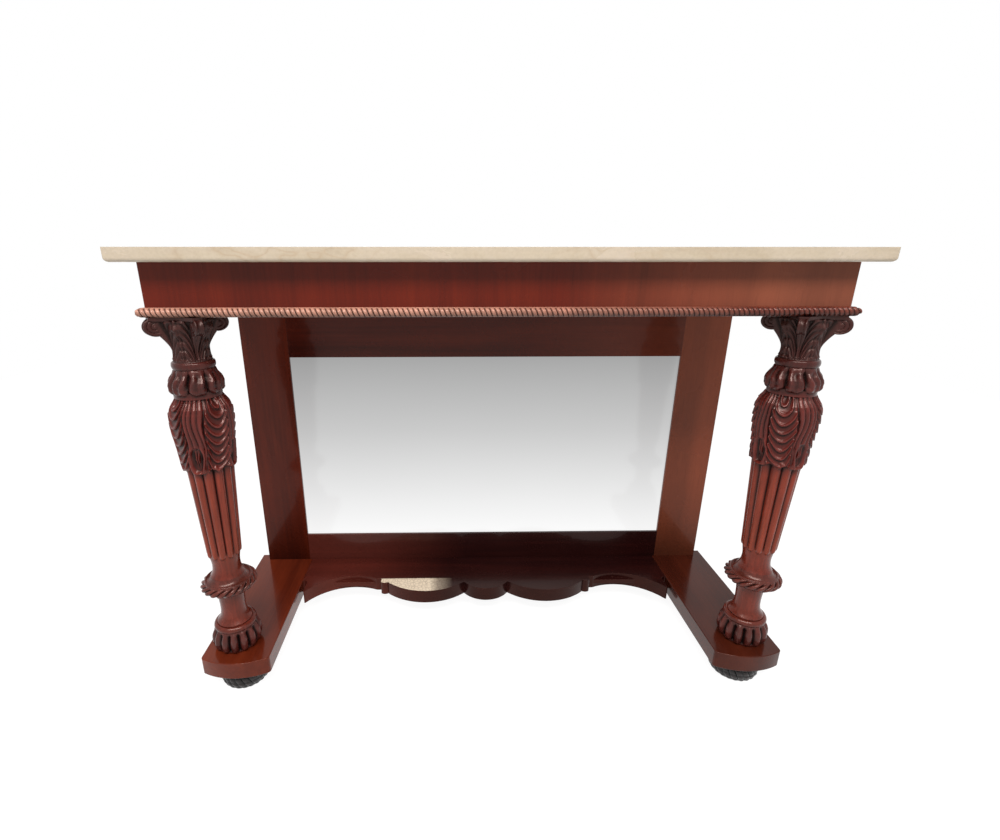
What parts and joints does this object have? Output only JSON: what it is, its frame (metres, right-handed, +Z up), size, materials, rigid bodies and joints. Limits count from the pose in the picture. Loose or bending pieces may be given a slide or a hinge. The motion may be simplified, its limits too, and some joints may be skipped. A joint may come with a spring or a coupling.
{
  "type": "pier table",
  "caption": "Marble-topped pier table with two carved columns, a framed mirror back and a scalloped platform on bun feet.",
  "frame": {"origin": "on the floor under the middle of the marble slab", "axes": "+X to the table's right as seen by someone facing it, +Y towards the wall, +Z up"},
  "size_m": [1.32, 0.43, 0.938],
  "materials": {
    "marble": "polished cream marble with faint veins",
    "veneer": "french-polished mahogany veneer with a streaky cross grain",
    "rope": "carved and polished mahogany",
    "carving": "dark carved mahogany, dusty polish in the hollows",
    "platform": "high-gloss french-polished mahogany",
    "ebonised": "black stained and polished wood",
    "secondary": "bare pine, aged",
    "mirror": "silvered glass",
    "screw": "dull steel"
  },
  "bodies": {
    "root": {"marble_top": "marble", "frieze_front": "veneer", "frieze_side_left": "veneer", "frieze_side_right": "veneer", "back_stile_left": "veneer", "back_stile_right": "veneer", "back_top_rail": "veneer", "back_bottom_rail": "veneer", "rope_moulding_front": "rope", "rope_moulding_left": "rope", "rope_moulding_right": "rope", "capital_left": "carving", "capital_right": "carving", "column_left": "carving", "column_right": "carving", "column_collar_left": "carving", "column_collar_right": "carving", "column_base_left": "carving", "column_base_right": "carving", "platform_arm_left": "platform", "platform_arm_right": "platform", "platform_shelf": "platform", "foot_front_left": "ebonised", "foot_front_right": "ebonised", "foot_rear_left": "ebonised", "foot_rear_right": "ebonised", "frieze_back_rail": "secondary", "frieze_corner_block_left": "secondary", "frieze_corner_block_right": "secondary", "frieze_glue_blocks": "secondary", "frieze_bearer_left": "secondary", "frieze_bearer_right": "secondary", "mirror_backboard": "secondary", "mirror_fillet_top": "secondary", "mirror_fillet_bottom": "secondary", "mirror_fillet_left": "secondary", "mirror_fillet_right": "secondary", "mirror_glass": "mirror", "rail_screws": "screw", "corner_block_screws": "screw"}
  },
  "joints": []
}
